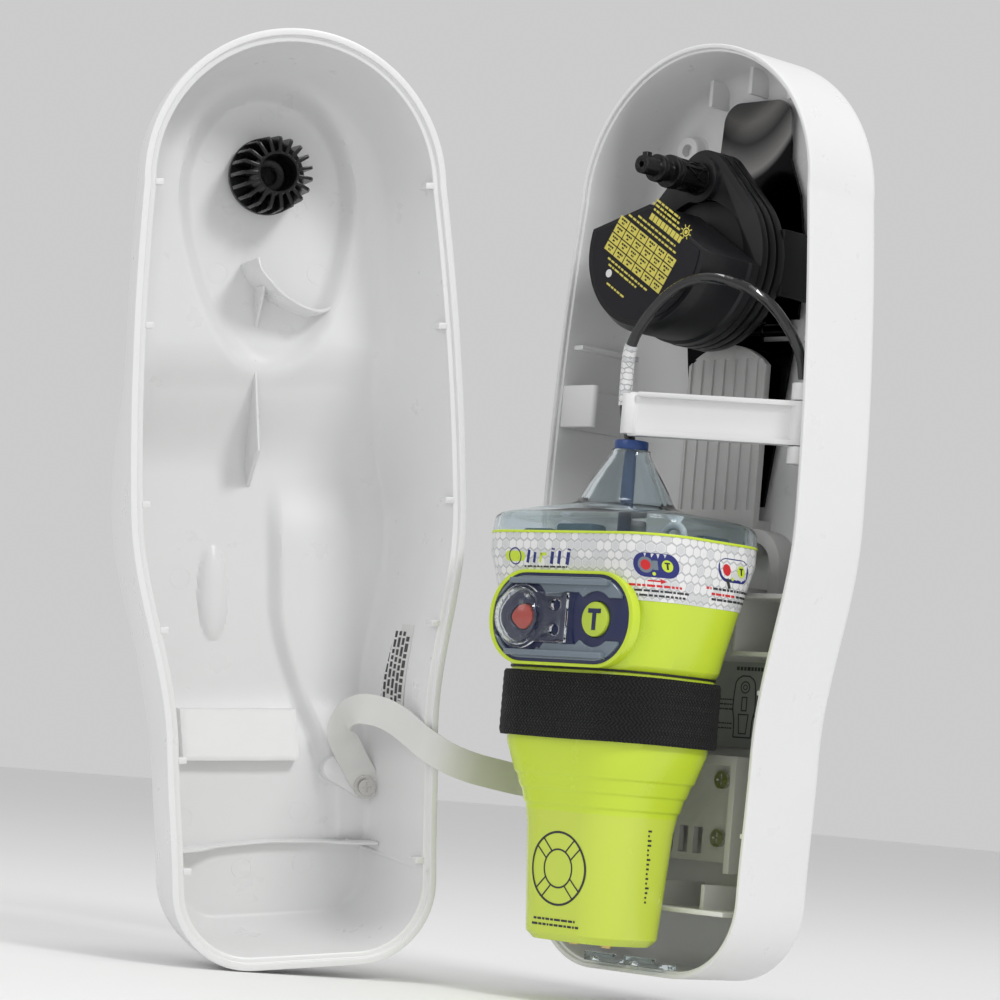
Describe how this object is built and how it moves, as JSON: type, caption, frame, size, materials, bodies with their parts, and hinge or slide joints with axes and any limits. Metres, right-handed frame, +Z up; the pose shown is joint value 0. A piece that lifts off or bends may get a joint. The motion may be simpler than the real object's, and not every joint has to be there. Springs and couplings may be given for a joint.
{
  "type": "emergency position beacon",
  "caption": "Hand-held emergency position beacon in a white float-free bulkhead housing, with the cover swung open, a hydrostatic release unit, a retainer arm and a tether strap.",
  "frame": {"origin": "centre of the four bulkhead bolt holes, in the bulkhead plane", "axes": "+Z up, +Y into the bulkhead, +X to the right when facing the open housing"},
  "size_m": [0.2684, 0.2368, 0.4006],
  "materials": {
    "white_shell": "moulded white housing plastic",
    "white_trim": "moulded white plastic",
    "grey_frame": "moulded light grey plastic",
    "feet": "moulded grey plastic",
    "steel": "stainless steel",
    "leaf": "polished dark sprung steel",
    "plate": "printed grey plate",
    "hru_black": "moulded black plastic",
    "hru_print": "black label printed in yellow",
    "rubber": "black rubber",
    "foam": "white closed-cell foam",
    "label": "printed white label",
    "strap": "flat white flexible plastic",
    "knob_black": "moulded black plastic",
    "lime": "high-visibility lime plastic",
    "clear": "clear polycarbonate",
    "blue": "blue plastic",
    "whip": "black sheathed steel whip",
    "sleeve": "white printed sleeve",
    "panel": "navy overlay",
    "rails": "grey-blue clear plastic",
    "red": "red plastic",
    "lime_button": "lime plastic",
    "webbing": "woven black band",
    "cells": "shrink-wrapped cells",
    "board": "circuit board",
    "lamps": "lamp lens",
    "mirror": "metallised reflector",
    "contacts": "plated contact"
  },
  "bodies": {
    "base": {"base_shell": "white_shell", "mounting_feet": "feet", "antenna_guide": "grey_frame", "retainer_block": "white_trim", "arm_post": "white_trim", "arm_pin": "steel", "support_bracket": "grey_frame", "lower_cradle": "grey_frame", "cradle_screws": "steel", "bottom_shelf": "white_trim", "hook_tabs": "white_trim", "instruction_plate": "plate", "leaf_foot": "leaf", "leaf_pin": "steel", "leaf_spring": "steel", "hru_bracket": "hru_black", "hru_case_back": "hru_black", "hru_case_front": "hru_black", "hru_label": "hru_print", "hru_rod": "hru_black", "hru_diaphragm": "rubber", "hru_spring": "steel", "hru_screws": "steel", "tether_strap": "strap", "tether_anchor_screw": "steel"},
    "cover": {"cover_shell": "white_shell", "foam_pad": "foam", "caution_label": "label", "tether_screw": "steel", "tether_washer": "steel", "strap_tab": "strap"},
    "knob": {"knob_crown": "knob_black", "knob_grip": "white_shell", "knob_ring": "knob_black"},
    "beacon": {"lower_case": "lime", "upper_case": "lime", "case_gasket": "rubber", "lens_cap": "clear", "antenna_rod": "blue", "antenna_collar": "blue", "antenna_whip": "whip", "antenna_sleeve": "sleeve", "head_label": "label", "control_panel": "panel", "slider_rails": "rails", "panel_screw": "steel", "lanyard_band": "webbing", "battery_pack": "cells", "circuit_board": "board", "strobe_lights": "lamps", "reflector": "mirror", "sea_contacts": "contacts"},
    "arm": {"retainer_arm": "white_trim"},
    "leaf": {"ejector_leaf": "leaf"},
    "blade": {"hru_blade": "steel"},
    "guard": {"slider_guard": "clear"},
    "on_key": {"on_button": "red"},
    "test_key": {"test_button": "lime_button", "test_mark": "panel"}
  },
  "joints": [
    {"name": "cover_swing", "type": "hinge", "parent": "base", "child": "cover", "pos_m": [-0.08525, -0.0754, -0.032], "axis": [0.0435, 0.0628, -0.9971], "range_deg": [-116.5, 20], "deforming": ["tether_strap"]},
    {"name": "knob_turn", "type": "hinge", "parent": "cover", "child": "knob", "pos_m": [-0.15083, -0.15566, 0.09526], "axis": [-0.8963, 0.4405, 0.0517], "range_deg": [0, 90]},
    {"name": "beacon_lift", "type": "slide", "parent": "base", "child": "beacon", "axis": [0, -1, 0], "range_m": [0, 0.05]},
    {"name": "arm_swing", "type": "hinge", "parent": "base", "child": "arm", "pos_m": [0.06242, -0.042, 0.0015], "axis": [0, 0, 1], "range_deg": [0, 65]},
    {"name": "leaf_kick", "type": "hinge", "parent": "base", "child": "leaf", "pos_m": [0, -0.0115, 0.046], "axis": [1, 0, 0], "range_deg": [0, 5]},
    {"name": "blade_strike", "type": "slide", "parent": "base", "child": "blade", "axis": [0, -1, 0], "range_m": [0, 0.003]},
    {"name": "guard_slide", "type": "slide", "parent": "beacon", "child": "guard", "axis": [1, 0, 0], "range_m": [0, 0.02]},
    {"name": "on_press", "type": "slide", "parent": "beacon", "child": "on_key", "axis": [0, 1, 0], "range_m": [0, 0.0014], "stiffness_N_per_m": 900},
    {"name": "test_press", "type": "slide", "parent": "beacon", "child": "test_key", "axis": [0, 1, 0], "range_m": [0, 0.0014], "stiffness_N_per_m": 900}
  ],
  "couplings": [
    {"joint": "arm_swing", "follows": "beacon_lift", "rad_per_m": 22.6}
  ]
}
